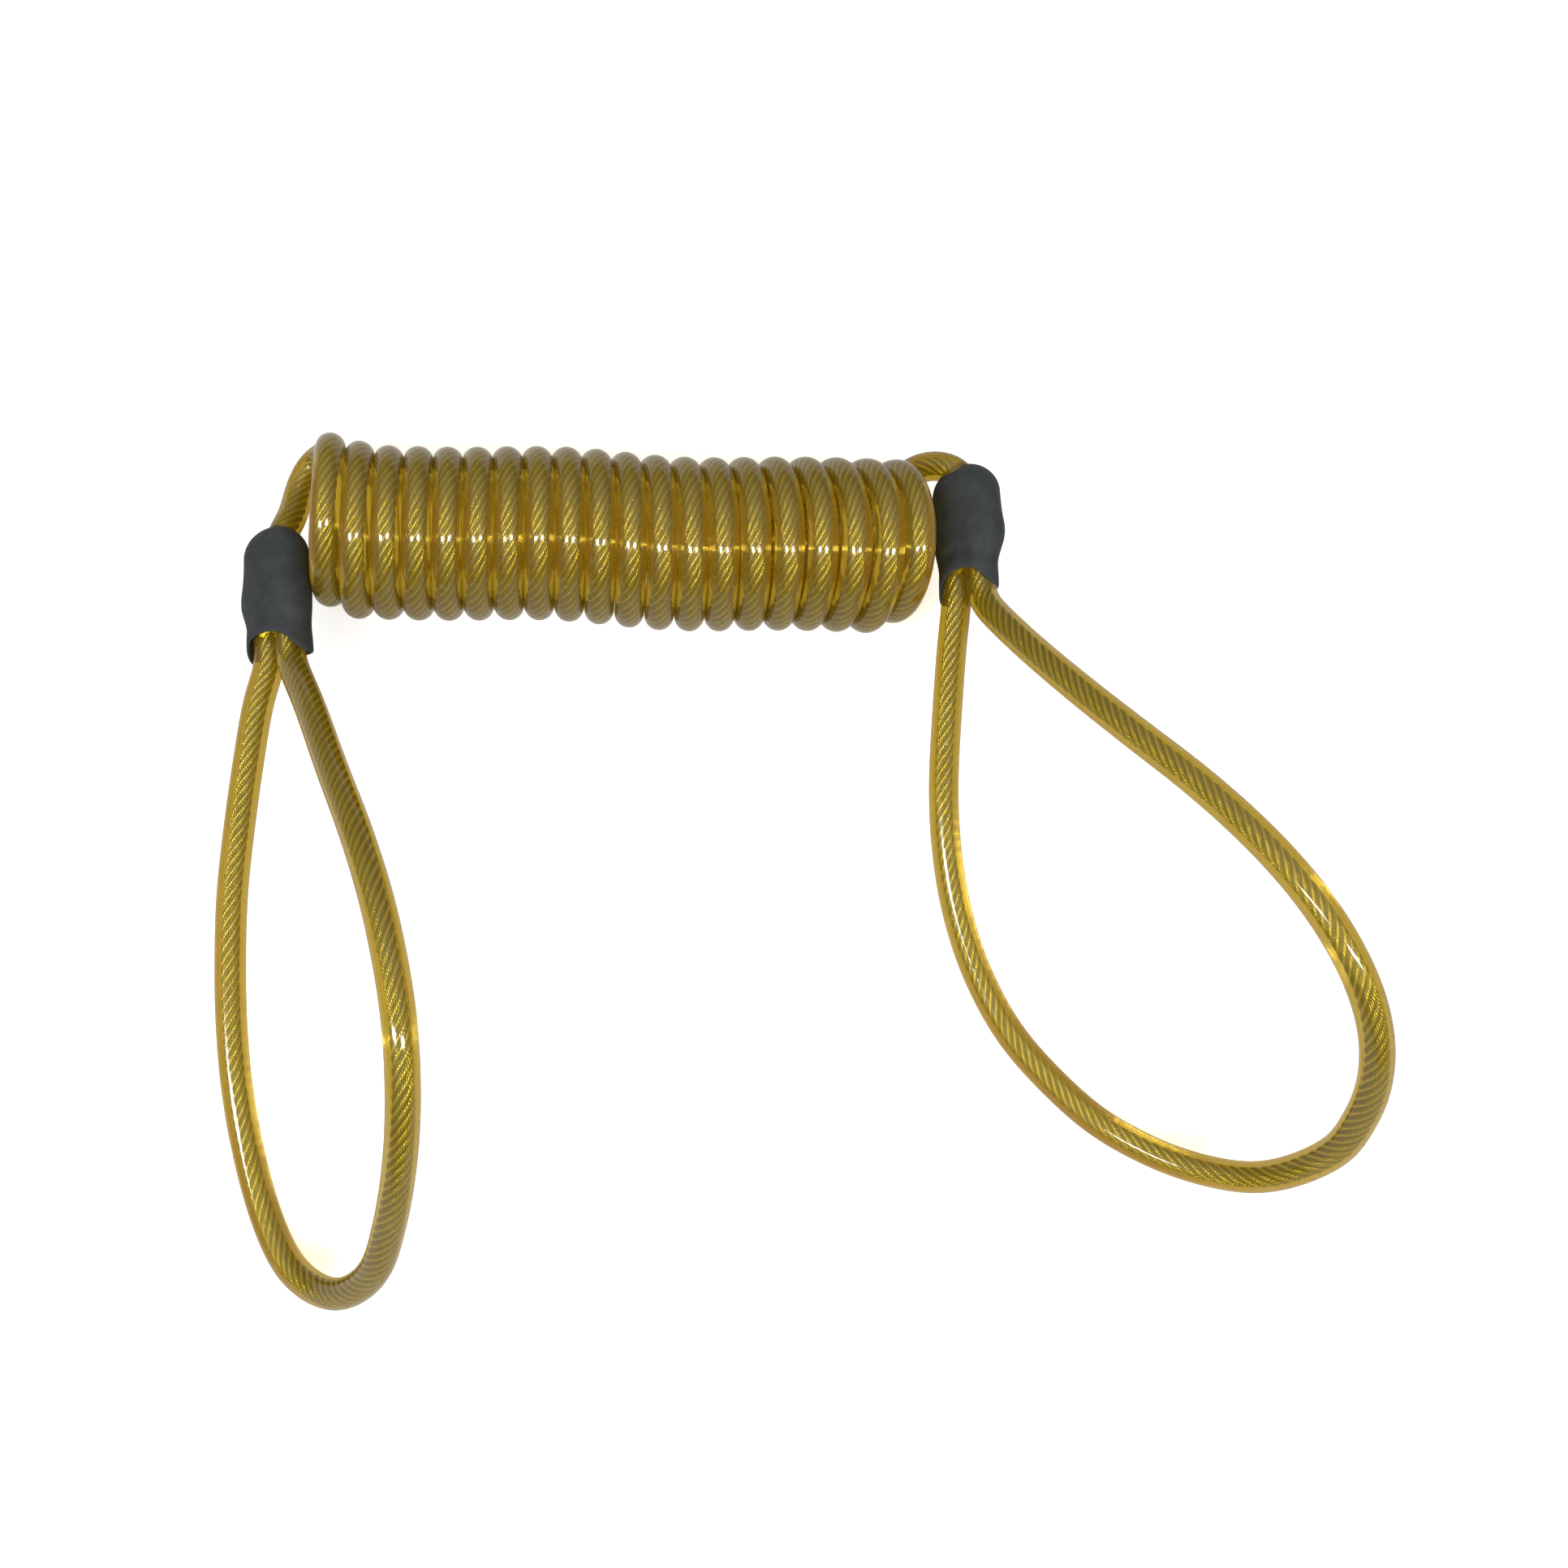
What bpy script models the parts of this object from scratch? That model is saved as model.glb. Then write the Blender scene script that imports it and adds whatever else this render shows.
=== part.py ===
"""Coiled restrictor cable: a jacketed wire rope wound into a springy coil, with a crimped eye at each end.

Frame: metres, +X along the coil from the left eye to the right one, +Z up. The cable lies on the plane
z = 0, and the origin is under the middle of its bounding box. Run with blender --background --python part.py.
"""
import bmesh
import bpy
import numpy as np
from mathutils import Euler, Matrix, Vector

MM = 0.001
GAP = 0.3 * MM  # kept between two pieces that touch on the real cable

# The cable and its rope
CABLE_D = 4.0 * MM
ROPE_D = 2.0 * MM

# The coil
TURNS = 20
COIL_OD = 24.0 * MM
PITCH = 4.185 * MM
TURN_D = 3.75 * MM  # a turn's own thickness, which leaves the gap to the next one
COIL_CENTRE = Vector((-21.8, 44.6, 12.0)) * MM
TURN_YAW = np.radians(5.0)  # each turn stands a little askew to the coil's axis
TURN_LEAN = np.radians(5.0)
TURN_SEGMENTS = 24
TURN_SIDES = 8

# The end caps: soft boots with a flat oval section, a domed end and an arched mouth
CAP_LENGTH = 18.6 * MM
CAP_WIDTH = 10.4 * MM
CAP_THICKNESS = 6.4 * MM
CAP_WALL = 0.8 * MM
CAP_DOME = 4.2 * MM
CAP_ARCH = 3.0 * MM  # how far the mouth's flat sides are cut back behind its two lips
CAP_SHOULDER = 0.35 * MM  # how much wider the cap is over the end of the ferrule
CAP_ROUND_POINTS = 9  # along each half circle of its section

# The crimp inside each cap
LEG_SPREAD = 4.35 * MM  # between the two jacketed legs in the mouth
ROPE_SPREAD = 2.9 * MM  # between the two ropes in the ferrule
FERRULE_BORE = 2.6 * MM
FERRULE_WIDTH = 7.0 * MM
FERRULE_THICKNESS = 4.0 * MM
FERRULE_START = 6.6 * MM  # measured from the tip of the dome
FERRULE_LENGTH = 7.6 * MM
LEAD_END = 3.2 * MM  # where the lead's jacket stops inside the cap
LEG_START = 16.4 * MM  # where the legs' jackets start again
DEAD_END = 5.9 * MM  # where the rope's cut end lies, just past the ferrule

STEP = 4.6 * MM  # between the points of a cable's tube
LEAD_STEP = 1.6 * MM

# Each end: the tip of its dome, the cap's yaw about Z and roll about its own length, the swing's pivot,
# the lead's route from the coil to the dome, and the eye's route from the lower leg round to the upper one
ENDS = {
    "left": {
        "tip": (-70.4, 44.8, 12.0),
        "yaw": 5.0,
        "roll": 30.0,
        "pivot": (-68.5, 54.2, 9.0),
        "lead": [(-65.8, 55.5, 8.4), (-67.9, 55.1, 7.0), (-69.8, 52.8, 6.9), (-70.7, 49.8, 8.6),
                 (-70.8, 47.0, 10.8)],
        "eye": [(-70.6, 20.5, 11.0), (-71.3, 11.4, 10.8), (-71.9, 2.6, 10.0), (-72.3, -6.2, 9.0),
                (-72.2, -14.8, 7.5), (-71.7, -23.3, 6.0), (-70.6, -31.8, 4.5), (-68.7, -40.3, 3.0),
                (-65.6, -48.7, 2.3), (-61.1, -55.1, 3.6), (-54.3, -57.4, 8.4), (-48.0, -54.0, 16.0),
                (-44.3, -47.2, 25.0), (-42.0, -39.3, 33.0), (-41.1, -31.8, 38.5), (-41.5, -24.6, 41.0),
                (-43.2, -17.3, 41.0), (-46.0, -9.6, 38.5), (-50.2, -1.2, 33.6), (-55.5, 7.8, 26.8),
                (-60.9, 17.2, 19.6)],
    },
    "right": {
        "tip": (25.5, 55.8, 15.0),
        "yaw": 1.0,
        "roll": 38.0,
        "pivot": (26.0, 57.7, 12.0),
        "lead": [(21.4, 55.2, 8.8), (22.6, 55.9, 9.2), (24.1, 57.1, 11.0), (25.3, 57.1, 13.4), (25.6, 55.2, 14.8)],
        "eye": [(24.2, 32.0, 13.0), (23.7, 23.2, 12.0), (23.4, 12.2, 10.0), (24.0, 3.6, 8.0),
                (25.7, -5.0, 6.0), (29.0, -13.6, 4.2), (34.3, -22.2, 2.9), (42.8, -30.6, 2.3),
                (49.1, -34.8, 2.9), (56.8, -38.1, 5.4), (64.8, -39.2, 11.0), (71.1, -36.0, 19.6),
                (72.7, -31.8, 26.2), (72.6, -28.0, 31.4), (71.6, -24.0, 35.8), (69.8, -19.8, 39.4),
                (67.4, -15.4, 41.8), (64.3, -10.4, 43.0), (60.5, -5.0, 42.8), (55.9, 0.9, 40.9),
                (50.5, 7.2, 37.6), (44.1, 14.1, 33.0), (37.7, 21.6, 27.4), (31.9, 29.2, 21.6)],
    },
}

for old in list(bpy.data.objects):
    bpy.data.objects.remove(old, do_unlink=True)
parts = bpy.data.collections.new("restrictor_cable")
cutters = bpy.data.collections.new("cutters")
for collection in (parts, cutters):
    bpy.context.scene.collection.children.link(collection)


def finish(name, colour, roughness, metallic=0.0):
    """A Principled material of one colour."""
    material = bpy.data.materials.new(name)
    material.use_nodes = True
    shader = material.node_tree.nodes["Principled BSDF"]
    shader.inputs["Base Color"].default_value = (*colour, 1.0)
    shader.inputs["Roughness"].default_value = roughness
    shader.inputs["Metallic"].default_value = metallic
    return material


JACKET = finish("amber_jacket", (0.42, 0.31, 0.05), 0.15)
CAP = finish("black_boot", (0.045, 0.05, 0.05), 0.6)
ALUMINIUM = finish("ferrule_aluminium", (0.75, 0.75, 0.73), 0.4, 1.0)
STEEL = finish("rope_steel", (0.6, 0.6, 0.58), 0.35, 1.0)


def add_object(name, data, material, collection=parts):
    obj = bpy.data.objects.new(name, data)
    obj.data.materials.append(material)
    collection.objects.link(obj)
    return obj


def smooth_route(points, step):
    """Points a step apart on a Catmull-Rom curve through the route's own points."""
    p = np.array([list(q) for q in points])
    p = np.vstack([2 * p[0] - p[1], p, 2 * p[-1] - p[-2]])
    t = np.linspace(0, 1, 24, endpoint=False)[:, None]
    curve = []
    for a, b, c, d in zip(p, p[1:], p[2:], p[3:]):
        curve.append(0.5 * (2 * b + (c - a) * t + (2 * a - 5 * b + 4 * c - d) * t**2
                            + (3 * b - a - 3 * c + d) * t**3))
    curve = np.vstack(curve + [p[-2][None]])
    along = np.concatenate([[0], np.cumsum(np.linalg.norm(np.diff(curve, axis=0), axis=1))])
    at = np.linspace(0, along[-1], max(2, round(along[-1] / step) + 1))
    return np.stack([np.interp(at, along, curve[:, k]) for k in range(3)], axis=1)


def tube(name, points, diameter, material):
    """A round tube with filled ends along the points."""
    curve = bpy.data.curves.new(name, "CURVE")
    curve.dimensions = "3D"
    curve.bevel_depth = diameter / 2
    curve.bevel_resolution = 2
    curve.use_fill_caps = True
    spline = curve.splines.new("POLY")
    spline.points.add(len(points) - 1)
    for control, place in zip(spline.points, points):
        control.co = (*place, 1.0)
    spline.use_smooth = True
    return add_object(name, curve, material)


def as_mesh(obj, collection=parts):
    """The tube as one closed mesh, which a Boolean can use."""
    graph = bpy.context.evaluated_depsgraph_get()
    mesh = bpy.data.meshes.new_from_object(obj.evaluated_get(graph))
    work = bmesh.new()
    work.from_mesh(mesh)
    bmesh.ops.remove_doubles(work, verts=work.verts, dist=1e-6)
    work.to_mesh(mesh)
    work.free()
    name, place = obj.name, obj.matrix_world.copy()
    bpy.data.objects.remove(obj, do_unlink=True)
    made = bpy.data.objects.new(name, mesh)
    made.matrix_world = place
    collection.objects.link(made)
    return made


def cut(obj, cutter):
    """Take the cutter's shape out of the object."""
    cutter.hide_render = True
    cutter.display_type = "WIRE"
    boolean = obj.modifiers.new("cut", "BOOLEAN")
    boolean.operation = "DIFFERENCE"
    boolean.object = cutter


def cap_matrix(end):
    """Where a cap stands: its own X runs across it, its own Z through it, and -Y from the dome to the mouth."""
    turn = Euler((0.0, -np.radians(end["roll"]), np.radians(end["yaw"])))
    return Matrix.Translation(Vector(end["tip"]) * MM) @ turn.to_matrix().to_4x4()


def in_cap(end, across, along):
    """A point in the cap's middle plane, in world coordinates."""
    return cap_matrix(end) @ Vector((across, -along, 0.0))


def coil_turn(number):
    """One turn, as a turned ring of the cable's own thickness, on its place along the coil."""
    mesh = bpy.data.meshes.new(f"coil_turn_{number:02d}")
    work = bmesh.new()
    radius = COIL_OD / 2 - TURN_D / 2
    angles = np.linspace(0, 2 * np.pi, TURN_SIDES, endpoint=False)
    profile = [work.verts.new((TURN_D / 2 * np.sin(a), radius + TURN_D / 2 * np.cos(a), 0.0)) for a in angles]
    edges = [work.edges.new((profile[i - 1], profile[i])) for i in range(TURN_SIDES)]
    bmesh.ops.spin(work, geom=profile + edges, cent=(0, 0, 0), axis=(1, 0, 0), angle=2 * np.pi,
                   steps=TURN_SEGMENTS, use_merge=True)
    bmesh.ops.recalc_face_normals(work, faces=work.faces)
    work.to_mesh(mesh)
    work.free()
    mesh.shade_smooth()
    turn = add_object(mesh.name, mesh, JACKET)
    turn.location = COIL_CENTRE + Vector(((number - (TURNS + 1) / 2) * PITCH, 0.0, 0.0))
    turn.rotation_euler = (0.0, TURN_LEAN, -TURN_YAW)
    return turn


def oval(width, thickness):
    """The outline of a flat oval, two half circles joined by straight sides, as (x, z, angle)."""
    straight = (width - thickness) / 2
    half = []
    for a in np.linspace(-np.pi / 2, np.pi / 2, CAP_ROUND_POINTS):
        half.append((straight + thickness / 2 * np.cos(a), thickness / 2 * np.sin(a), a))
    return half + [(-x, -z, a + np.pi) for x, z, a in half]


def cap_surface(side):
    """The boot's outer surface: oval sections from the dome's tip to the arched mouth, open at the mouth.

    The dome's sections grow as a quarter ellipse, and the side away from the coil swells a little over
    the end of the ferrule. The mouth's flat sides are cut back behind its two lips.
    """
    quarter = np.linspace(0.0, 0.5 * np.pi, 6)[1:]
    stations = [(CAP_DOME * (1 - np.cos(q)), np.sin(q)) for q in quarter]
    stations += [(s, 1.0) for s in np.linspace(CAP_DOME, CAP_LENGTH, 7)[1:]]
    work = bmesh.new()
    tip = work.verts.new((0, 0, 0))
    before = None
    for along, scale in stations:
        share = along / CAP_LENGTH
        wide = CAP_WIDTH * (0.9 + 0.1 * min(1.0, share / 0.5)) * scale
        swell = CAP_SHOULDER * np.exp(-(((share - 0.53) / 0.12) ** 2))
        arch = CAP_ARCH * max(0.0, share - 0.6) / 0.4
        ring = []
        for x, z, a in oval(wide, CAP_THICKNESS * scale):
            outward = side * swell * max(0.0, side * np.cos(a))
            ring.append(work.verts.new((x + outward, -along + arch * np.sin(a) ** 2, z)))
        for k in range(len(ring)):
            a, b = ring[k - 1], ring[k]
            work.faces.new((tip, a, b) if before is None else (before[k - 1], a, b, before[k]))
        before = ring
    bmesh.ops.recalc_face_normals(work, faces=work.faces)
    mesh = bpy.data.meshes.new("cap")
    work.to_mesh(mesh)
    work.free()
    return mesh


def oval_sleeve(name, width, thickness, length):
    """A flat oval extruded along the cap, as a mesh."""
    work = bmesh.new()
    face = work.faces.new([work.verts.new((x, 0.0, z)) for x, z, _ in oval(width, thickness)])
    grown = bmesh.ops.extrude_face_region(work, geom=[face])
    moved = [v for v in grown["geom"] if isinstance(v, bmesh.types.BMVert)]
    bmesh.ops.translate(work, verts=moved, vec=(0.0, -length, 0.0))
    bmesh.ops.recalc_face_normals(work, faces=work.faces)
    mesh = bpy.data.meshes.new(name)
    work.to_mesh(mesh)
    work.free()
    return mesh


def make_cap(name, end, side):
    cap = add_object(f"cap_{name}", cap_surface(side), CAP)
    cap.matrix_world = cap_matrix(end)
    wall = cap.modifiers.new("wall", "SOLIDIFY")
    wall.thickness = CAP_WALL
    wall.offset = -1.0
    wall.use_even_offset = True
    hole = tube(f"cap_{name}_hole", lead_route(end, LEAD_END + GAP), CABLE_D + 2 * GAP, CAP)
    cut(cap, as_mesh(hole, cutters))
    return cap


def make_ferrule(name, end):
    """An oval sleeve pressed round the two ropes, with a bore for each."""
    mesh = oval_sleeve("ferrule", FERRULE_WIDTH, FERRULE_THICKNESS, FERRULE_LENGTH)
    ferrule = add_object(f"ferrule_{name}", mesh, ALUMINIUM)
    ferrule.matrix_world = cap_matrix(end) @ Matrix.Translation((0.0, -FERRULE_START, 0.0))
    for across in (-ROPE_SPREAD / 2, ROPE_SPREAD / 2):
        ends = [in_cap(end, across, FERRULE_START + reach)
                for reach in (-1.0 * MM, FERRULE_LENGTH + 1.0 * MM)]
        bore = tube(f"ferrule_{name}_bore", ends, FERRULE_BORE, ALUMINIUM)
        cut(ferrule, as_mesh(bore, cutters))
    return ferrule


def lead_route(end, stop):
    """The lead from the coil into the dome, as far as stop behind the dome's tip."""
    own = [Vector(p) * MM for p in end["lead"]]
    return smooth_route(own + [in_cap(end, 0.0, LEAD_END / 2), in_cap(end, 0.0, stop)], LEAD_STEP)


def make_ropes(name, end):
    """The stripped rope from the lead through the ferrule to the lower leg, and the cut end beside it."""
    low, high = -ROPE_SPREAD / 2, ROPE_SPREAD / 2
    sleeve_end = FERRULE_START + FERRULE_LENGTH
    through = [(0.0, LEAD_END + GAP), (0.0, LEAD_END + 0.9 * MM), (low, FERRULE_START - 0.3 * MM),
               (low, sleeve_end + 0.2 * MM), (-LEG_SPREAD / 2, LEG_START - 0.7 * MM),
               (-LEG_SPREAD / 2, LEG_START - GAP)]
    dead = [(high, DEAD_END), (high, sleeve_end + 0.2 * MM), (LEG_SPREAD / 2, LEG_START - 0.7 * MM),
            (LEG_SPREAD / 2, LEG_START - GAP)]
    return (tube(f"rope_{name}", [in_cap(end, *p) for p in through], ROPE_D, STEEL),
            tube(f"rope_end_{name}", [in_cap(end, *p) for p in dead], ROPE_D, STEEL))


def make_eye(name, end):
    """The jacketed cable of one eye, from one leg in the cap's mouth round to the other."""
    inside = [LEG_START, CAP_LENGTH + 1.2 * MM]
    lower = [in_cap(end, -LEG_SPREAD / 2, s) for s in inside]
    upper = [in_cap(end, LEG_SPREAD / 2, s) for s in reversed(inside)]
    own = [Vector(p) * MM for p in end["eye"]]
    return tube(f"loop_{name}", smooth_route(lower + own + upper, STEP), CABLE_D, JACKET)


def hang_on_pivot(name, end, pieces):
    """Parent the eye's pieces to an empty on the axis that the eye swings about."""
    pivot = bpy.data.objects.new(f"{name}_eye_pivot", None)
    pivot.location = Vector(end["pivot"]) * MM
    parts.objects.link(pivot)
    for piece in pieces:
        piece.parent = pivot
        piece.matrix_parent_inverse = Matrix.Translation(pivot.location).inverted()


for turn_number in range(1, TURNS + 1):
    coil_turn(turn_number)
for end_name, end_side in (("left", -1), ("right", 1)):
    this_end = ENDS[end_name]
    tube(f"lead_{end_name}", lead_route(this_end, LEAD_END), CABLE_D, JACKET)
    cap = make_cap(end_name, this_end, end_side)
    ferrule = make_ferrule(end_name, this_end)
    ropes = make_ropes(end_name, this_end)
    eye = make_eye(end_name, this_end)
    hang_on_pivot(end_name, this_end, [cap, ferrule, *ropes, eye])
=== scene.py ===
import bpy
import numpy as np
from mathutils import Matrix, Vector


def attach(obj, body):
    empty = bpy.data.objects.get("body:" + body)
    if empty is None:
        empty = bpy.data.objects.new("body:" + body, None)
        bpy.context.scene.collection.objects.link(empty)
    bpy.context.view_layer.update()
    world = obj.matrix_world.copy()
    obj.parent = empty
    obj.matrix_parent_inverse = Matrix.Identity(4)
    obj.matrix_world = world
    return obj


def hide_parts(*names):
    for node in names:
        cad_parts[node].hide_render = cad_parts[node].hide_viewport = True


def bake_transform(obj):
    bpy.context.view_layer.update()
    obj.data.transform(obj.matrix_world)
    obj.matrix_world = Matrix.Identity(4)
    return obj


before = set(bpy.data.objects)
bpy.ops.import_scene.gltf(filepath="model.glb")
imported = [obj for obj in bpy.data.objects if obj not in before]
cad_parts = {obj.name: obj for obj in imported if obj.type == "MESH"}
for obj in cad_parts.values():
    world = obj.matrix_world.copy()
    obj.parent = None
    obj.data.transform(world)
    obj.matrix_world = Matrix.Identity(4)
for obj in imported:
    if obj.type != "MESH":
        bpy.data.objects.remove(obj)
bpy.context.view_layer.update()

MM = 0.001
TAU = 2.0 * np.pi

# The cable: a wire rope in a clear amber jacket
JACKET_RADIUS = 2.05 * MM
ROPE_RADIUS = 0.82 * MM
STRANDS = 6
WIRES = 24  # ridges round the rope
ROPE_LAY = 9.4 * MM  # one whole turn of a strand about the rope
STRAND_FLOOR = 0.70  # the hollows between strands, as a share of the rope's radius

# The coil: a helix about X, its angle measured from +Y towards +Z
TURNS = 20
COIL_RADIUS = 10.0 * MM
COIL_START = -63.67 * MM
COIL_Y = 44.6 * MM
COIL_Z = 12.06 * MM
PITCH = 4.112 * MM
LEAN = 1.83 * MM  # how far the top of a middle turn stands to the right of its centre
LEAN_DRIFT = -0.55 * MM  # added to the lean from the middle of the coil to its end
LATE_LEAN = 0.38 * MM  # added for each turn of the slacker right end
LATE_FROM = 14.0
FRONT_DRIFT = 0.8 * MM  # how far the front of the last turn stands to the right of its back
FIRST_BACK = 1.6 * MM  # how far the first turn stands behind the others
FIRST_FROM = 0.5  # it comes forward from this turn
FIRST_SPAN = 0.9
LAST_BACK = 1.7 * MM  # how far the end of the last turn stands behind the others
LAST_FROM = 19.2
LAST_SPAN = 0.4
LAST_DRAW = 0.5 * MM  # how far the end of the last turn is drawn in along the coil
DRAW_FROM = 18.9
DRAW_SPAN = 0.5
SWAY = 0.6 * MM  # the coil's gentle S in plan
SWAY_LENGTH = 11.0  # turns in one whole S
SWAY_REACH = 5.5  # it dies away over this many turns from the middle
SEAM = 0.75  # the coil and its leads meet under the coil, this many turns from its start
LAST_SEAM = TURNS - 2.0 + SEAM
LEAVING = 0.27  # the right lead leaves the coil this many turns before its end
TURN_STEP = 1.0 / 24.0  # between the points of a lead that lie on the coil

# The end caps
CAP_LENGTH = 18.6 * MM
CAP_WIDTH = 10.4 * MM
CAP_THICKNESS = 6.4 * MM
CAP_WALL = 0.8 * MM
CAP_DOME = 4.2 * MM
CAP_ARCH = 3.0 * MM
LOWER_ARCH = 0.2  # the arch of the mouth's lower side, as a share of the upper side's
MOUTH_CUT = 0.6  # the share of the length where the arch and the slant begin
SHOULDER = 0.9  # the width at the dome, as a share of the full width at half the length
LIP_THINNING = 0.5  # the share of the wall that is lost towards the lip
TAPER_FROM = 0.5  # the share of the length where the boot starts to draw in
TAPER_SPAN = 0.35
SWELL_AT = 0.58  # where the ferrule's corner pushes the boot out
SWELL_SPREAD = 0.14
PINCH = 0.28 * MM  # how far the boot sinks in past the ferrule
PINCH_AT = 0.80
PINCH_SPREAD = 0.10
FLATNESS = 3.0  # how sharply the oval's flat sides turn into its round ends
BOOT_SIDES = 96
LEAST_HALF = 0.02 * MM  # the smallest half width of a section, at the dome's tip
LEG_SPREAD = 4.0 * MM
LEAD_END = 3.2 * MM  # how far past the dome's tip a lead ends
LEG_START = 14.3 * MM  # how far past it an eye's legs begin, inside the boot
LEG_SECOND = 17.3 * MM  # the next point of each leg
LEG_LAST = 19.8 * MM  # and the last one before its own route

# Each end, in millimetres: the dome's tip, the cap's yaw about Z and roll about its own length, the side
# that faces away from the coil, the mouth's width as a share of the cap's, the swell on that side, the
# mouth's slant, the lead's route from the coil to the dome and how far across the dome it enters, and the
# eye's route from the lower leg to the upper one
ENDS = {
    "left": {
        "tip": (-70.4, 44.8, 12.0),
        "yaw": 7.5,
        "roll": 30.0,
        "side": -1.0,
        "mouth": 0.96,
        "swell": 0.75,
        "slant": 0.0,
        "body": "coil_start",
        "eye_body": "left_eye",
        "lead": [(-65.0, 56.8, 9.6), (-66.6, 56.7, 8.5), (-67.9, 55.3, 7.9), (-68.7, 53.0, 7.8),
                 (-68.9, 49.9, 8.6), (-68.8, 46.6, 10.4)],
        "entry": 0.8,
        "eye": [(-70.6, 20.5, 11.0), (-71.3, 11.4, 10.8), (-71.9, 2.6, 10.0), (-72.3, -6.2, 9.0),
                (-72.2, -14.8, 7.5), (-71.7, -23.3, 6.0), (-70.6, -31.8, 4.5), (-68.7, -40.3, 3.0),
                (-65.6, -48.9, 2.3), (-61.1, -55.4, 3.6), (-54.2, -57.7, 8.4), (-47.8, -54.3, 16.0),
                (-44.0, -47.3, 25.0), (-41.6, -39.3, 33.0), (-40.7, -31.8, 38.5), (-41.1, -24.6, 41.0),
                (-42.8, -17.3, 41.0), (-45.7, -9.6, 38.5), (-50.0, -1.2, 33.6), (-55.4, 7.8, 26.8),
                (-60.9, 17.2, 19.6)],
    },
    "right": {
        "tip": (25.5, 55.8, 15.0),
        "yaw": 2.0,
        "roll": 38.0,
        "side": 1.0,
        "mouth": 0.82,
        "swell": 0.4,
        "slant": 0.9,
        "body": "coil_finish",
        "eye_body": "right_eye",
        "lead": [(15.4, 50.9, 3.4), (16.1, 54.2, 6.6), (17.3, 56.0, 9.8), (19.4, 56.6, 12.2),
                 (21.9, 56.4, 13.8), (24.2, 55.2, 15.0)],
        "entry": 0.0,
        "eye": [(24.2, 32.0, 13.0), (23.7, 23.2, 12.0), (23.4, 12.2, 10.0), (24.0, 3.6, 8.0),
                (25.7, -5.1, 6.0), (28.9, -13.8, 4.2), (34.2, -22.5, 2.9), (42.7, -30.9, 2.3),
                (49.0, -35.1, 2.9), (56.8, -38.4, 5.4), (64.9, -39.5, 11.0), (71.2, -36.2, 19.6),
                (72.7, -31.8, 26.2), (72.6, -28.0, 31.4), (71.6, -24.0, 35.8), (69.8, -19.8, 39.4),
                (67.4, -15.4, 41.8), (64.3, -10.4, 43.0), (60.5, -5.0, 42.8), (55.9, 0.9, 40.9),
                (50.5, 7.2, 37.6), (44.1, 14.1, 33.0), (37.7, 21.6, 27.4), (31.9, 29.2, 21.6)],
    },
}

# How the routes are rounded
EASE = 1.9 * MM  # the spread of the bell
EASE_STEP = 0.2 * MM
EASE_IN = 6.0 * MM  # the length over which the rounding comes in
CURVE_STEPS = 24  # between two points of a route

# How finely the cable is meshed
JACKET_STEP = 0.7 * MM
JACKET_SIDES = 32
ROPE_STEP = 0.5 * MM
ROPE_SIDES = 36
COIL_SAMPLES = 200  # points a turn, before they are spaced out evenly
ALONG_X = (1.0, 0.0, 0.0)

# The camera, table and light: angles in degrees, the camera's place in millimetres, the rest in metres
ELEVATION = 78.0
CAMERA_TURN = 1.7
CAMERA_LENS = 37.27
CAMERA_PLACE = (1.62, -35.17, 226.60)
TABLE_REACH = 3.0
TABLE_DROP = 0.05 * MM  # how far it lies below Z = 0
LAMP_PLACES = {"left_lamp": (-0.46, -0.40, 0.90), "right_lamp": (0.46, -0.40, 0.90)}
LAMP_WIDTH = 0.44
LAMP_DEPTH = 0.12
LAMP_POWER = 5.0
LAMP_AIM = 0.02  # the height that the lamps face

scene = bpy.context.scene
scene.view_settings.view_transform = "Standard"


# ---------------------------------------------------------------- camera

def make_camera():
    """The camera looks down at the cable from high above the table, turned a little about its own axis."""
    elevation = np.radians(ELEVATION)
    turn = np.radians(CAMERA_TURN)
    right = Vector((np.cos(turn), np.sin(elevation) * np.sin(turn), np.cos(elevation) * np.sin(turn)))
    up = Vector((-np.sin(turn), np.sin(elevation) * np.cos(turn), np.cos(elevation) * np.cos(turn)))
    back = right.cross(up)
    data = bpy.data.cameras.new("camera")
    data.lens = CAMERA_LENS
    data.sensor_width = 36.0
    data.clip_start = 0.01
    data.clip_end = 20.0
    camera = bpy.data.objects.new("camera", data)
    place = Matrix((right, up, back)).transposed().to_4x4()
    place.translation = Vector(CAMERA_PLACE) * MM
    camera.matrix_world = place
    scene.collection.objects.link(camera)
    scene.camera = camera


# ---------------------------------------------------------------- routes

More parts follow.
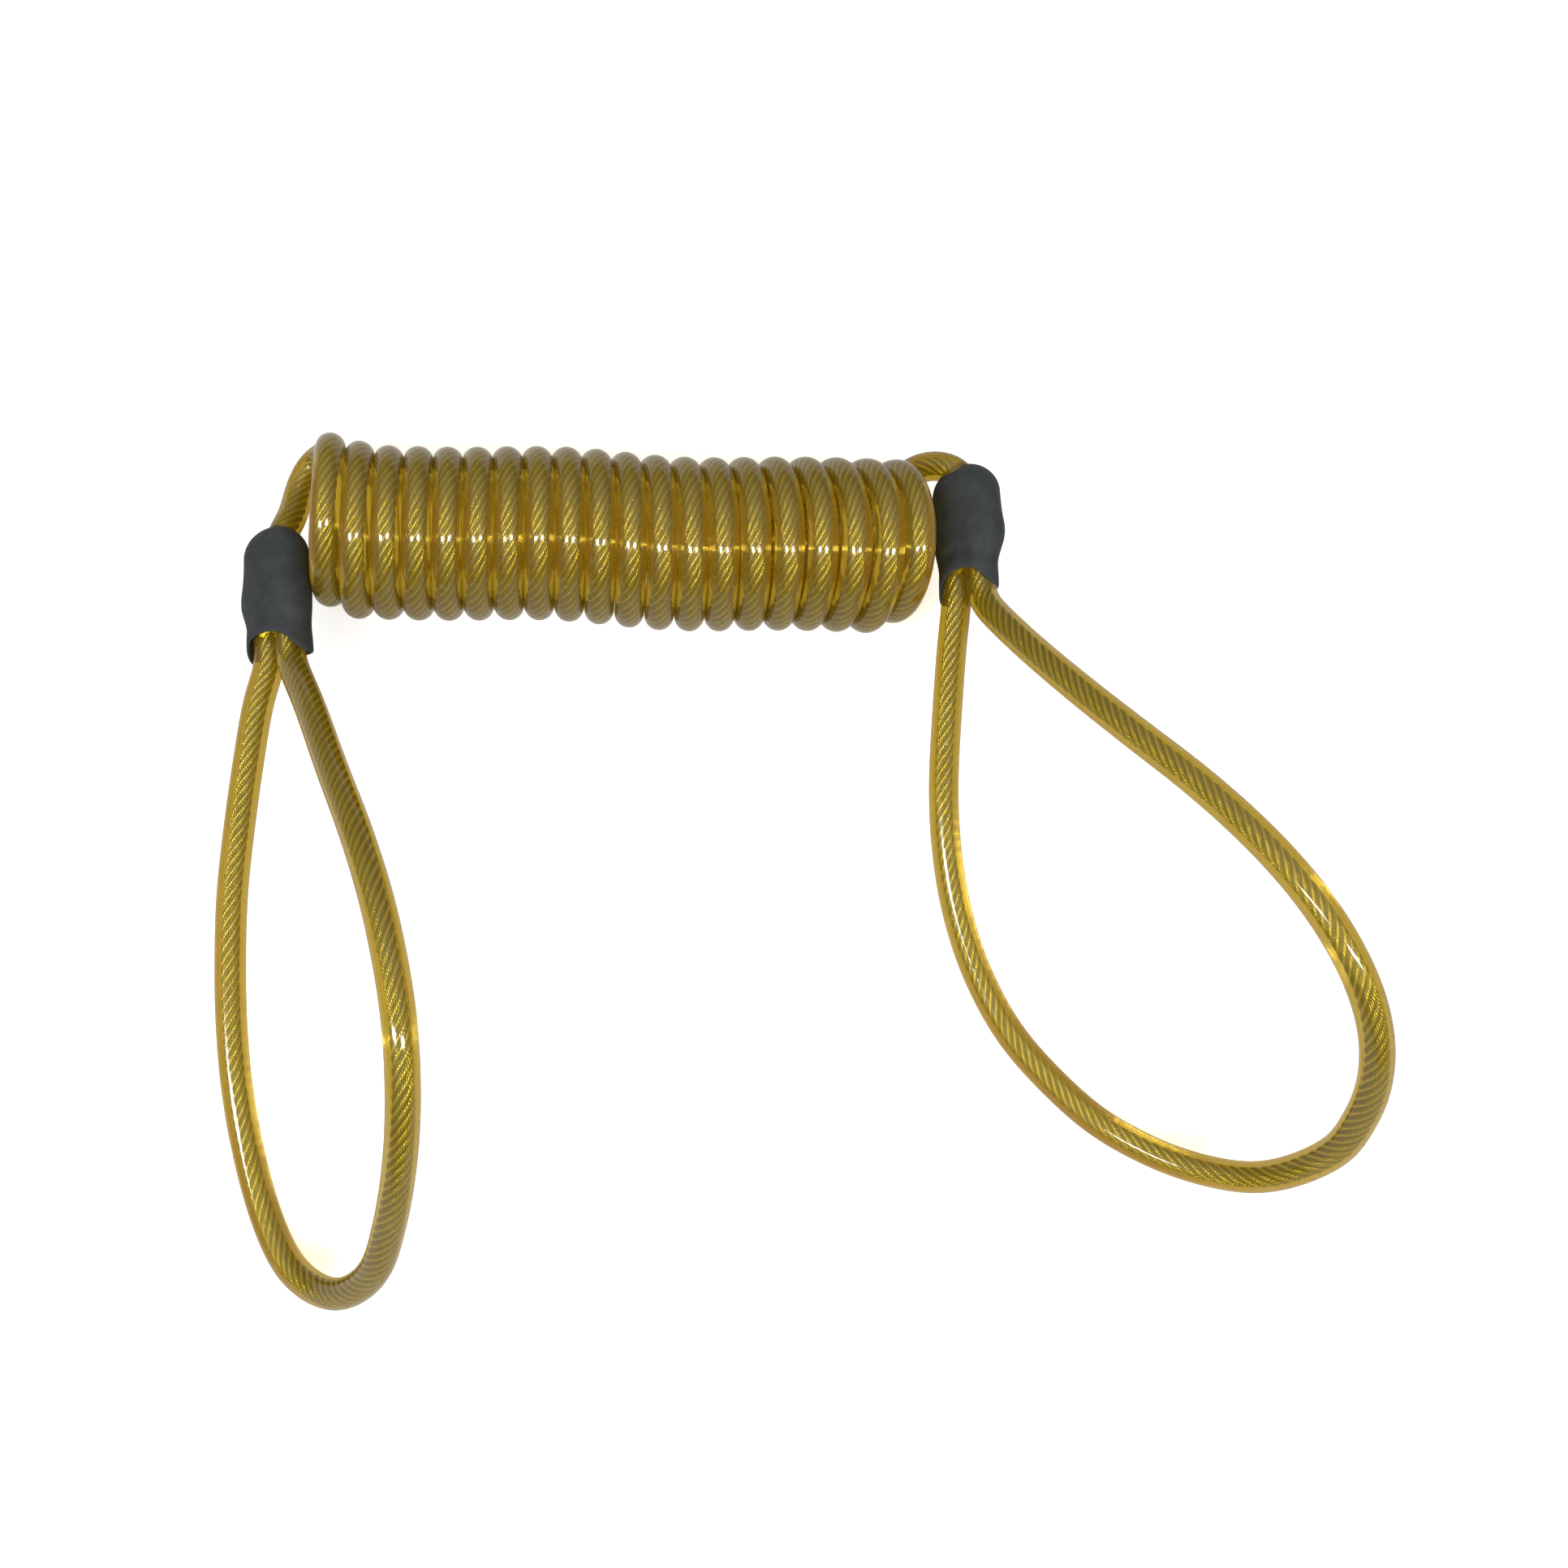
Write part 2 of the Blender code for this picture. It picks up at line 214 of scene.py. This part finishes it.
def helix(turns):
    """Points of the coil's centreline at these turn counts.

    The angle is a whole circle a turn. X grows by the pitch, leans by the sine of the angle and shears by
    one minus its cosine. Lean and shear drift evenly along the coil, and the lean grows again past
    LATE_FROM. Y and Z go round the coil's radius. The first turn and the end of the last one stand back,
    that end is drawn in along the coil, and the coil sways in plan by a sine that dies away from the middle
    as a bell.
    """
    angle = TAU * turns
    middle = turns - TURNS / 2
    share = middle / (TURNS / 2)
    lean = LEAN + LEAN_DRIFT * share + LATE_LEAN * np.maximum(0.0, turns - LATE_FROM)
    shear = 0.5 * FRONT_DRIFT * share * (1.0 - np.cos(angle))
    drawn = LAST_DRAW * smooth_step((turns - DRAW_FROM) / DRAW_SPAN)
    x = COIL_START + PITCH * turns + lean * np.sin(angle) + shear - drawn
    first = FIRST_BACK * (1.0 - smooth_step((turns - FIRST_FROM) / FIRST_SPAN))
    last = LAST_BACK * smooth_step((turns - LAST_FROM) / LAST_SPAN)
    sway = SWAY * np.sin(TAU * middle / SWAY_LENGTH) * np.exp(-(middle / SWAY_REACH) ** 2)
    y = COIL_Y + first + last - sway + COIL_RADIUS * np.cos(angle)
    z = COIL_Z + COIL_RADIUS * np.sin(angle)
    return np.stack([x, y, z], axis=1)


def smooth_route(points, start=0.0):
    """A Catmull-Rom curve through the route's own points, with its corners eased past start along it."""
    p = np.array([list(point) for point in points])
    p = np.vstack([2 * p[0] - p[1], p, 2 * p[-1] - p[-2]])
    t = np.linspace(0.0, 1.0, CURVE_STEPS, endpoint=False)[None, :, None]
    a, b, c, d = (p[k:len(p) - 3 + k, None, :] for k in range(4))
    square = (2 * a - 5 * b + 4 * c - d) * t**2
    cube = (3 * b - a - 3 * c + d) * t**3
    curve = 0.5 * (2 * b + (c - a) * t + square + cube)
    return eased(np.vstack([curve.reshape(-1, 3), p[-2][None]]), start)


def eased(curve, start=0.0):
    """The line with its corners rounded, past start along it.

    Each point moves to the bell-weighted mean of the line near it. The line is carried on past each end by
    its own half turn, so its ends stay where they are, and the change comes in over one EASE_IN.
    """
    fine = even_steps(curve, EASE_STEP)
    reach = int(3 * EASE / EASE_STEP)
    bell = np.exp(-0.5 * (np.arange(-reach, reach + 1) * EASE_STEP / EASE) ** 2)
    before = 2 * fine[0] - fine[reach:0:-1]
    after = 2 * fine[-1] - fine[-2:-reach - 2:-1]
    longer = np.vstack([before, fine, after])
    mean = np.stack([np.convolve(longer[:, k], bell / bell.sum(), mode="valid") for k in range(3)], axis=1)
    share = smooth_step((distance_along(fine) - start) / EASE_IN + (start <= 0.0))[:, None]
    return fine * (1 - share) + mean * share


def smooth_step(t):
    """Zero to one with level ends."""
    t = np.clip(t, 0.0, 1.0)
    return t * t * (3 - 2 * t)


def even_steps(curve, step):
    """The same line with its points a step apart along it."""
    along = distance_along(curve)
    at = np.linspace(0.0, along[-1], max(2, round(along[-1] / step) + 1))
    return np.stack([np.interp(at, along, curve[:, k]) for k in range(3)], axis=1)


def distance_along(points):
    """How far along the line each point lies, starting from zero."""
    return np.concatenate([[0.0], np.cumsum(np.linalg.norm(np.diff(points, axis=0), axis=1))])


def cap_matrix(end):
    """Where a cap stands.

    Its own X runs across it, its own Z through it, and its own -Y from the dome to the mouth.
    """
    yaw = np.radians(end["yaw"])
    roll = -np.radians(end["roll"])
    turn = Matrix.Rotation(yaw, 4, "Z") @ Matrix.Rotation(roll, 4, "Y")
    return Matrix.Translation(Vector(end["tip"]) * MM) @ turn


def in_cap(end, across, along):
    """A point in the cap's middle plane, in world coordinates."""
    return cap_matrix(end) @ Vector((across, -along, 0.0))


def lead_line(end):
    """The lead from the seam under the coil, up and over its end turn, out and into the dome."""
    if end["side"] < 0:
        turns = np.arange(SEAM, -0.001, -TURN_STEP)
    else:
        turns = np.arange(LAST_SEAM, TURNS - LEAVING, TURN_STEP)
    own = [list(np.array(p) * MM) for p in end["lead"]]
    entry = end["entry"] * MM
    inside = [in_cap(end, entry, LEAD_END / 2), in_cap(end, entry, LEAD_END)]
    return [list(p) for p in helix(turns)] + own + [list(p) for p in inside]


def eye_line(end):
    """One eye, from one leg in the cap's mouth round to the other."""
    inside = [LEG_START, LEG_SECOND, LEG_LAST]
    lower = [in_cap(end, -LEG_SPREAD / 2, s) for s in inside]
    upper = [in_cap(end, LEG_SPREAD / 2, s) for s in reversed(inside)]
    own = [Vector(p) * MM for p in end["eye"]]
    return lower + own + upper


# ---------------------------------------------------------------- surfaces

def unit(vectors):
    """The vectors at length one."""
    return vectors / np.linalg.norm(vectors, axis=1, keepdims=True)


def carried_frame(points, reference):
    """Two directions square to the line at each point, carried along it without twist.

    The first guess points away from the reference. Its turn about the line is summed along the way
    and taken off again.
    """
    tangent = unit(np.gradient(points, axis=0))
    side = unit(np.cross(tangent, np.array(reference)[None, :]))
    third = np.cross(tangent, side)
    step = np.sum(np.diff(side, axis=0) * 0.5 * (third[1:] + third[:-1]), axis=1)
    turn = -np.concatenate([[0.0], np.cumsum(step)])[:, None]
    first = side * np.cos(turn) + third * np.sin(turn)
    return first, np.cross(tangent, first)


def add_piece(name, grid, u):
    """A smooth closed mesh from a grid of points, whose rows are rings, with a fan closing each end ring.

    U is one value a ring, and V counts once round each ring.
    """
    rows, sides = grid.shape[:2]
    row = np.arange(rows - 1)[:, None]
    side = np.arange(sides)[None, :]
    after = (side + 1) % sides
    this_ring = row * sides
    next_ring = this_ring + sides
    corners = [this_ring + side, this_ring + after, next_ring + after, next_ring + side]
    faces = [np.stack(corners, axis=2).reshape(-1, 4)]
    ring_u = np.stack([u[:-1], u[:-1], u[1:], u[1:]], axis=1)[:, None, :]
    side_v = np.stack([side[0], side[0] + 1, side[0] + 1, side[0]], axis=1)[None] / sides
    quad_u, quad_v = np.broadcast_arrays(ring_u, side_v)
    loops_uv = [np.stack([quad_u, quad_v], axis=3).reshape(-1, 2)]
    first_ring = np.arange(sides)[::-1]
    last_ring = (rows - 1) * sides + np.arange(sides)
    vertices = grid.reshape(-1, 3)
    tips = [vertices[first_ring].mean(axis=0), vertices[last_ring].mean(axis=0)]
    for number, (ring, end_u) in enumerate(((first_ring, u[0]), (last_ring, u[-1]))):
        tip = np.full(sides, rows * sides + number)
        faces.append(np.stack([ring, np.roll(ring, -1), tip], axis=1))
        loops_uv.append(np.tile([[end_u, 0.0]], (3 * sides, 1)))
    vertices = np.vstack([vertices, np.array(tips)])
    mesh = bpy.data.meshes.new(name)
    corners = np.concatenate([kind.ravel() for kind in faces])
    sizes = np.concatenate([np.full(len(kind), kind.shape[1]) for kind in faces])
    starts = np.concatenate([[0], np.cumsum(sizes)[:-1]])
    mesh.vertices.add(len(vertices))
    mesh.vertices.foreach_set("co", vertices.astype(np.float32).ravel())
    mesh.loops.add(len(corners))
    mesh.loops.foreach_set("vertex_index", corners.astype(np.int32))
    mesh.polygons.add(len(sizes))
    mesh.polygons.foreach_set("loop_start", starts.astype(np.int32))
    mesh.polygons.foreach_set("use_smooth", np.ones(len(sizes), bool))
    mesh.update(calc_edges=True)
    layer = mesh.uv_layers.new(name="UVMap")
    layer.data.foreach_set("uv", np.vstack(loops_uv).astype(np.float32).ravel())
    mesh.validate()
    obj = bpy.data.objects.new(name, mesh)
    scene.collection.objects.link(obj)
    return obj


def swept(name, points, radius, turn, reference):
    """A closed tube along the points.

    radius and turn are grids, one row a point: the section's radius and its angle in the carried frame.
    U counts along the line in centimetres and V once round the section.
    """
    first, second = carried_frame(points, reference)
    around = first[:, None, :] * np.cos(turn)[:, :, None] + second[:, None, :] * np.sin(turn)[:, :, None]
    return add_piece(name, points[:, None, :] + around * radius[:, :, None], distance_along(points) * 100.0)


def jacket_tube(name, points, reference):
    """The round jacket: a circle carried along the line."""
    turn = np.linspace(0.0, TAU, JACKET_SIDES, endpoint=False)[None, :] + np.zeros((len(points), 1))
    radius = np.full(turn.shape, JACKET_RADIUS)
    return swept(name, points, radius, turn, reference)


def wire_rope(name, points, reference):
    """Six strands laid round a core.

    The section's outline is the outer arc of six circles a third of the rope's radius, standing two thirds
    out: r = d cos a + sqrt(e2 - d2 sin2 a), with a measured from the nearest strand. The outline turns
    once about the line in each lay.
    """
    lay = TAU * distance_along(points)[:, None] / ROPE_LAY
    angle = np.linspace(0.0, TAU, ROPE_SIDES, endpoint=False)[None, :]
    share = TAU / STRANDS
    near = (angle + share / 2) % share - share / 2
    strand = ROPE_RADIUS / 3
    out = 2 * ROPE_RADIUS / 3
    radius = out * np.cos(near) + np.sqrt(np.maximum(0.0, strand**2 - (out * np.sin(near)) ** 2))
    radius = np.maximum(radius, STRAND_FLOOR * ROPE_RADIUS)
    return swept(name, points, radius + np.zeros(lay.shape), angle + lay, reference)


def boot_surface(name, end):
    """The soft boot over the crimp: oval sections from the dome's tip to the arched mouth and back inside.

    Along the outer wall the sections grow as a quarter ellipse, run almost straight with a swell over the
    end of the ferrule, and draw in a little towards the mouth. A half-round lip turns into the inner wall,
    which follows the outer one a wall's thickness inside and closes in a dome of its own. An oval is a
    circle drawn out by a steep tanh of the cosine, and the mouth is cut back as the sine squared.
    """
    dome = np.linspace(0.0, 0.5 * np.pi, 15)[1:]
    body = np.linspace(CAP_DOME, CAP_LENGTH, 42)[1:]
    along = np.concatenate([CAP_DOME * (1 - np.cos(dome)), body])
    grow = np.concatenate([np.sin(dome), np.ones(len(body))])
    lip = np.linspace(0.0, np.pi, 9)[1:-1]
    inner_along = np.concatenate([body[::-1], CAP_DOME * (1 - np.cos(dome[::-1]))])
    inner_grow = np.concatenate([np.ones(len(body)), np.sin(dome[::-1])])
    reach = np.concatenate([along, CAP_LENGTH + 0.5 * CAP_WALL * np.sin(lip), inner_along])
    scale = np.concatenate([grow, np.ones(len(lip)), inner_grow])
    inset = np.concatenate([np.zeros(len(along)), 0.5 * (1 - np.cos(lip)), np.ones(len(inner_along))])
    share = np.minimum(1.0, reach / CAP_LENGTH)[:, None]
    scale = scale[:, None]
    inset = inset[:, None] * CAP_WALL * (1.0 - LIP_THINNING * share**4)
    angle = np.linspace(0.0, TAU, BOOT_SIDES, endpoint=False)[None, :]
    across = np.cos(angle)
    through = np.sin(angle)
    taper = 1.0 - (1.0 - end["mouth"]) * smooth_step((share - TAPER_FROM) / TAPER_SPAN)
    widening = SHOULDER + (1.0 - SHOULDER) * np.minimum(1.0, 2.0 * share)
    wide = np.maximum(CAP_WIDTH / 2 * widening * scale * taper - inset, LEAST_HALF)
    thick = np.maximum(CAP_THICKNESS / 2 * scale - inset, LEAST_HALF)
    straight = np.maximum(0.0, wide - thick)
    swell = end["swell"] * MM * np.exp(-(((share - SWELL_AT) / SWELL_SPREAD) ** 2))
    pinch = PINCH * np.exp(-(((share - PINCH_AT) / PINCH_SPREAD) ** 2))
    x = straight * np.tanh(FLATNESS * across) / np.tanh(FLATNESS) + thick * across
    x = x + end["side"] * swell * np.maximum(0.0, end["side"] * across)
    z = thick * through - pinch * through * scale
    cut = np.maximum(0.0, share - MOUTH_CUT) / (1.0 - MOUTH_CUT)
    upper = LOWER_ARCH + (1.0 - LOWER_ARCH) * smooth_step(0.5 + 2.0 * through)
    y = -reach[:, None] + CAP_ARCH * cut * through**2 * upper + end["slant"] * MM * cut * across
    place = np.array(cap_matrix(end))
    grid = np.stack([x, y, z], axis=2) @ place[:3, :3].T + place[:3, 3]
    return add_piece(name, grid, reach / CAP_LENGTH)


# ---------------------------------------------------------------- materials

def new_material(name):
    """An empty node tree with a Principled shader and an output."""
    material = bpy.data.materials.new(name)
    material.use_nodes = True
    return material, material.node_tree.nodes, material.node_tree.links


def strand_marks():
    """A node group for the wires of a laid rope, read from a piece's own U (centimetres) and V (turns).

    Wires gives narrow ridges that run almost along the rope; Strands gives the broad ridges of the lay.
    """
    group = bpy.data.node_groups.new("strand_marks", "ShaderNodeTree")
    given_values = {"Wire Count": float(WIRES), "Strand Count": float(STRANDS), "Lay": ROPE_LAY * 100.0,
                    "Wire Drift": 0.0, "Strand Drift": 0.0}
    for name, value in given_values.items():
        socket = group.interface.new_socket(name, in_out="INPUT", socket_type="NodeSocketFloat")
        socket.default_value = value
    group.interface.new_socket("Wires", in_out="OUTPUT", socket_type="NodeSocketFloat")
    group.interface.new_socket("Strands", in_out="OUTPUT", socket_type="NodeSocketFloat")
    nodes, links = group.nodes, group.links
    given = nodes.new("NodeGroupInput")
    result = nodes.new("NodeGroupOutput")
    uv = nodes.new("ShaderNodeUVMap")
    uv.uv_map = "UVMap"
    apart = nodes.new("ShaderNodeSeparateXYZ")
    links.new(uv.outputs["UV"], apart.inputs["Vector"])

    def maths(kind, *values):
        """A maths node on these values or sockets."""
        node = nodes.new("ShaderNodeMath")
        node.operation = kind
        for socket, value in zip(node.inputs, values):
            if isinstance(value, (int, float)):
                socket.default_value = value
            else:
                links.new(value, socket)
        return node.outputs["Value"]

    def ridges(drift, count, circle):
        """The cosine of this many ridges round the rope, which drift round it with the lay."""
        turn = maths("ADD", apart.outputs["Y"], maths("MULTIPLY", lays, given.outputs[drift]))
        return maths("COSINE", maths("MULTIPLY", maths("MULTIPLY", turn, given.outputs[count]), circle))

    lays = maths("DIVIDE", apart.outputs["X"], given.outputs["Lay"])
    wires = ridges("Wire Drift", "Wire Count", TAU / 2)
    links.new(maths("ABSOLUTE", wires), result.inputs["Wires"])
    strands = ridges("Strand Drift", "Strand Count", TAU)
    links.new(maths("ADD", maths("MULTIPLY", strands, 0.5), 0.5), result.inputs["Strands"])
    return group


def noise(nodes, links, scale, detail=3.0):
    """Noise on the object's own coordinates, in cells a metre."""
    place = nodes.new("ShaderNodeTexCoord")
    texture = nodes.new("ShaderNodeTexNoise")
    texture.inputs["Scale"].default_value = scale
    texture.inputs["Detail"].default_value = detail
    links.new(place.outputs["Object"], texture.inputs["Vector"])
    return texture.outputs["Fac"]


def ramp(nodes, links, value, low, high, dark, light):
    """The value spread from low to high, as a colour from dark to light."""
    node = nodes.new("ShaderNodeValToRGB")
    node.color_ramp.elements[0].position = low
    node.color_ramp.elements[1].position = high
    node.color_ramp.elements[0].color = (*dark, 1.0)
    node.color_ramp.elements[1].color = (*light, 1.0)
    links.new(value, node.inputs["Fac"])
    return node.outputs["Color"]


def grey(value):
    """A colour with the same value three times, for what has one value and no hue."""
    return (value, value, value)


def bump(nodes, links, height, strength, distance, before=None):
    """A bump of that height, on top of the one before it."""
    node = nodes.new("ShaderNodeBump")
    node.inputs["Strength"].default_value = strength
    node.inputs["Distance"].default_value = distance
    links.new(height, node.inputs["Height"])
    if before is not None:
        links.new(before, node.inputs["Normal"])
    return node.outputs["Normal"]


def amber_jacket(marks):
    """Clear amber plastic: it bends light like glass, and lets tinted light through to what lies below."""
    material, nodes, links = new_material("amber_jacket")
    shader = nodes["Principled BSDF"]
    shader.inputs["Metallic"].default_value = 0.0
    shader.inputs["Transmission Weight"].default_value = 0.84
    shader.inputs["IOR"].default_value = 1.5
    patches = noise(nodes, links, 260.0)
    links.new(ramp(nodes, links, patches, 0.3, 0.7, (0.58, 0.40, 0.030), (0.65, 0.45, 0.045)),
              shader.inputs["Base Color"])
    rough = ramp(nodes, links, noise(nodes, links, 900.0), 0.35, 0.75, grey(0.07), grey(0.17))
    links.new(rough, shader.inputs["Roughness"])
    ripple = bump(nodes, links, noise(nodes, links, 500.0), 0.08, 0.2 * MM)
    wound = nodes.new("ShaderNodeGroup")
    wound.node_tree = marks
    wound.inputs["Strand Drift"].default_value = -1.0
    ripple = bump(nodes, links, wound.outputs["Strands"], 0.15, 0.02 * MM, ripple)
    links.new(ripple, shader.inputs["Normal"])
    clear = nodes.new("ShaderNodeBsdfTransparent")
    clear.inputs["Color"].default_value = (0.86, 0.72, 0.25, 1.0)
    path = nodes.new("ShaderNodeLightPath")
    mix = nodes.new("ShaderNodeMixShader")
    links.new(path.outputs["Is Shadow Ray"], mix.inputs["Fac"])
    links.new(shader.outputs["BSDF"], mix.inputs[1])
    links.new(clear.outputs["BSDF"], mix.inputs[2])
    links.new(mix.outputs["Shader"], nodes["Material Output"].inputs["Surface"])
    return material


def rope_steel(marks):
    """Bright drawn wires, with painted shade darkening the hollows between strands and painted highlights
    on the wires' crests.
    """
    material, nodes, links = new_material("rope_steel")
    shader = nodes["Principled BSDF"]
    shader.inputs["Metallic"].default_value = 1.0
    wires = nodes.new("ShaderNodeGroup")
    wires.node_tree = marks
    wires.inputs["Wire Drift"].default_value = 1.0
    # Painted light: the base colour runs from painted shade in the hollows between strands to painted
    # highlights on the crests of the wires.
    painted_glint_and_shade = nodes.new("ShaderNodeMath")
    painted_glint_and_shade.operation = "MULTIPLY"
    links.new(wires.outputs["Wires"], painted_glint_and_shade.inputs[0])
    links.new(wires.outputs["Strands"], painted_glint_and_shade.inputs[1])
    colour = ramp(nodes, links, painted_glint_and_shade.outputs["Value"], 0.25, 0.80, (0.33, 0.35, 0.19), (0.96, 1.00, 0.60))
    links.new(colour, shader.inputs["Base Color"])
    rough = ramp(nodes, links, noise(nodes, links, 2500.0), 0.3, 0.7, grey(0.12), grey(0.24))
    links.new(rough, shader.inputs["Roughness"])
    links.new(bump(nodes, links, wires.outputs["Wires"], 1.0, 0.045 * MM), shader.inputs["Normal"])
    return material


def black_boot():
    """Charcoal rubber with a fine sandy grain and a few paler scuffs."""
    material, nodes, links = new_material("black_boot")
    shader = nodes["Principled BSDF"]
    shader.inputs["Specular IOR Level"].default_value = 0.25
    scuffs = noise(nodes, links, 420.0, 6.0)
    links.new(ramp(nodes, links, scuffs, 0.35, 0.75, (0.026, 0.030, 0.030), (0.042, 0.047, 0.047)),
              shader.inputs["Base Color"])
    rough = ramp(nodes, links, noise(nodes, links, 700.0), 0.3, 0.7, grey(0.5), grey(0.7))
    links.new(rough, shader.inputs["Roughness"])
    grain = bump(nodes, links, noise(nodes, links, 6500.0, 2.0), 0.35, 0.06 * MM)
    dents = bump(nodes, links, noise(nodes, links, 500.0, 2.0), 0.3, 0.2 * MM, grain)
    links.new(dents, shader.inputs["Normal"])
    return material


def ferrule_aluminium():
    """Pressed aluminium with fine drawn lines."""
    material, nodes, links = new_material("ferrule_aluminium")
    shader = nodes["Principled BSDF"]
    shader.inputs["Metallic"].default_value = 1.0
    lines = noise(nodes, links, 3000.0, 4.0)
    links.new(ramp(nodes, links, lines, 0.3, 0.7, (0.55, 0.55, 0.54), (0.80, 0.80, 0.78)),
              shader.inputs["Base Color"])
    links.new(ramp(nodes, links, lines, 0.3, 0.7, grey(0.25), grey(0.45)), shader.inputs["Roughness"])
    links.new(bump(nodes, links, lines, 0.3, 0.05 * MM), shader.inputs["Normal"])
    return material


def pale_table():
    """A white table top that glows a little like a light box, and is duller in reflections and as light."""
    material, nodes, links = new_material("pale_table")
    shader = nodes["Principled BSDF"]
    shader.inputs["Roughness"].default_value = 0.9
    shader.inputs["Specular IOR Level"].default_value = 0.1
    shader.inputs["Emission Color"].default_value = (1.0, 1.0, 1.0, 1.0)
    shader.inputs["Emission Strength"].default_value = 0.45
    links.new(ramp(nodes, links, noise(nodes, links, 60.0), 0.3, 0.7, grey(0.90), grey(0.93)),
              shader.inputs["Base Color"])
    dull = nodes.new("ShaderNodeBsdfDiffuse")
    dull.inputs["Color"].default_value = (0.58, 0.57, 0.56, 1.0)
    path = nodes.new("ShaderNodeLightPath")
    mix = nodes.new("ShaderNodeMixShader")
    links.new(path.outputs["Is Camera Ray"], mix.inputs["Fac"])
    links.new(dull.outputs["BSDF"], mix.inputs[1])
    links.new(shader.outputs["BSDF"], mix.inputs[2])
    links.new(mix.outputs["Shader"], nodes["Material Output"].inputs["Surface"])
    return material


def dress(obj, material):
    """Give the piece its finish."""
    obj.data.materials.clear()
    obj.data.materials.append(material)


# ---------------------------------------------------------------- the cable

def follow(obj):
    """Bake the piece's place into its mesh."""
    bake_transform(obj)


make_camera()
marks = strand_marks()
amber = amber_jacket(marks)
steel = rope_steel(marks)
boot = black_boot()
aluminium = ferrule_aluminium()

coil_curve = helix(np.linspace(SEAM, LAST_SEAM, COIL_SAMPLES * TURNS))
coil_path = even_steps(coil_curve, JACKET_STEP)
coil_rope_path = even_steps(coil_curve, ROPE_STEP)
coil_jacket = jacket_tube("coil_jacket", coil_path, ALONG_X)
dress(coil_jacket, amber)
coil_rope = wire_rope("coil_rope", coil_rope_path, ALONG_X)
dress(coil_rope, steel)
for piece, path, sides in ((coil_jacket, coil_path, JACKET_SIDES), (coil_rope, coil_rope_path, ROPE_SIDES)):
    follow(piece)
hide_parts(*[f"coil_turn_{number:02d}" for number in range(1, TURNS + 1)])

for end_name, end in ENDS.items():
    lead_points = lead_line(end)
    helix_points = len(lead_points) - len(end["lead"]) - 2
    eye_points = eye_line(end)
    spread = np.array([list(point) for point in eye_points])
    flat = np.linalg.svd(spread - spread.mean(axis=0))[2][2]  # square to the plane nearest to the eye
    for kind, points, reference in (("lead", lead_points, ALONG_X), ("loop", eye_points, flat)):
        on_coil = distance_along(np.array(points))[helix_points - 1] if kind == "lead" else 0.0
        curve = smooth_route(points, max(0.0, on_coil - EASE_IN))
        jacket_path = even_steps(curve, JACKET_STEP)
        rope_path = even_steps(curve, ROPE_STEP)
        jacket = jacket_tube(f"{kind}_{end_name}_jacket", jacket_path, reference)
        rope = wire_rope(f"{kind}_{end_name}_rope", rope_path, reference)
        dress(jacket, amber)
        dress(rope, steel)
        if kind == "lead":
            for piece, path, sides in ((jacket, jacket_path, JACKET_SIDES), (rope, rope_path, ROPE_SIDES)):
                follow(piece)
        else:
            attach(jacket, end["eye_body"])
            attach(rope, end["eye_body"])
        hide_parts(f"{kind}_{end_name}")
    cap = boot_surface(f"boot_{end_name}", end)
    dress(cap, boot)
    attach(cap, end["eye_body"])
    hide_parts(f"cap_{end_name}")
    for node, finish in ((f"ferrule_{end_name}", aluminium), (f"rope_{end_name}", steel),
                         (f"rope_end_{end_name}", steel)):
        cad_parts[node].data.materials.clear()
        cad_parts[node].data.materials.append(finish)


# ---------------------------------------------------------------- table and light

def make_table():
    """A wide sheet under the cable, just below its lowest point."""
    corners = TABLE_REACH * np.array([[-1, -1], [1, -1], [1, 1], [-1, 1]])
    vertices = np.column_stack([corners, np.full(4, -TABLE_DROP)])
    mesh = bpy.data.meshes.new("table")
    mesh.from_pydata(vertices.tolist(), [], [(0, 1, 2, 3)])
    table = bpy.data.objects.new("table", mesh)
    scene.collection.objects.link(table)
    mesh.materials.append(pale_table())


def make_room():
    """Soft light from all round, brightest overhead and dimmer towards the walls, with plain pale walls."""
    world = bpy.data.worlds.new("studio")
    scene.world = world
    world.use_nodes = True
    nodes, links = world.node_tree.nodes, world.node_tree.links
    place = nodes.new("ShaderNodeTexCoord")
    apart = nodes.new("ShaderNodeSeparateXYZ")
    links.new(place.outputs["Generated"], apart.inputs["Vector"])
    light = nodes["Background"]
    sky = ramp(nodes, links, apart.outputs["Z"], 0.25, 0.85, grey(0.24), grey(0.85))
    links.new(sky, light.inputs["Color"])
    walls = nodes.new("ShaderNodeBackground")
    walls.inputs["Color"].default_value = (0.9, 0.9, 0.9, 1.0)
    path = nodes.new("ShaderNodeLightPath")
    mix = nodes.new("ShaderNodeMixShader")
    links.new(path.outputs["Is Camera Ray"], mix.inputs["Fac"])
    links.new(light.outputs["Background"], mix.inputs[1])
    links.new(walls.outputs["Background"], mix.inputs[2])
    links.new(mix.outputs["Shader"], nodes["World Output"].inputs["Surface"])


def make_lamp(name, place):
    """A long soft lamp over the cable, its length along X."""
    data = bpy.data.lights.new(name, "AREA")
    data.shape = "RECTANGLE"
    data.size = LAMP_WIDTH
    data.size_y = LAMP_DEPTH
    data.energy = LAMP_POWER
    lamp = bpy.data.objects.new(name, data)
    lamp.location = place
    aim = Vector((place[0], 0.0, LAMP_AIM)) - Vector(place)
    lamp.rotation_euler = aim.to_track_quat("-Z", "Y").to_euler()
    scene.collection.objects.link(lamp)


make_table()
make_room()
for lamp_name, lamp_place in LAMP_PLACES.items():
    make_lamp(lamp_name, lamp_place)
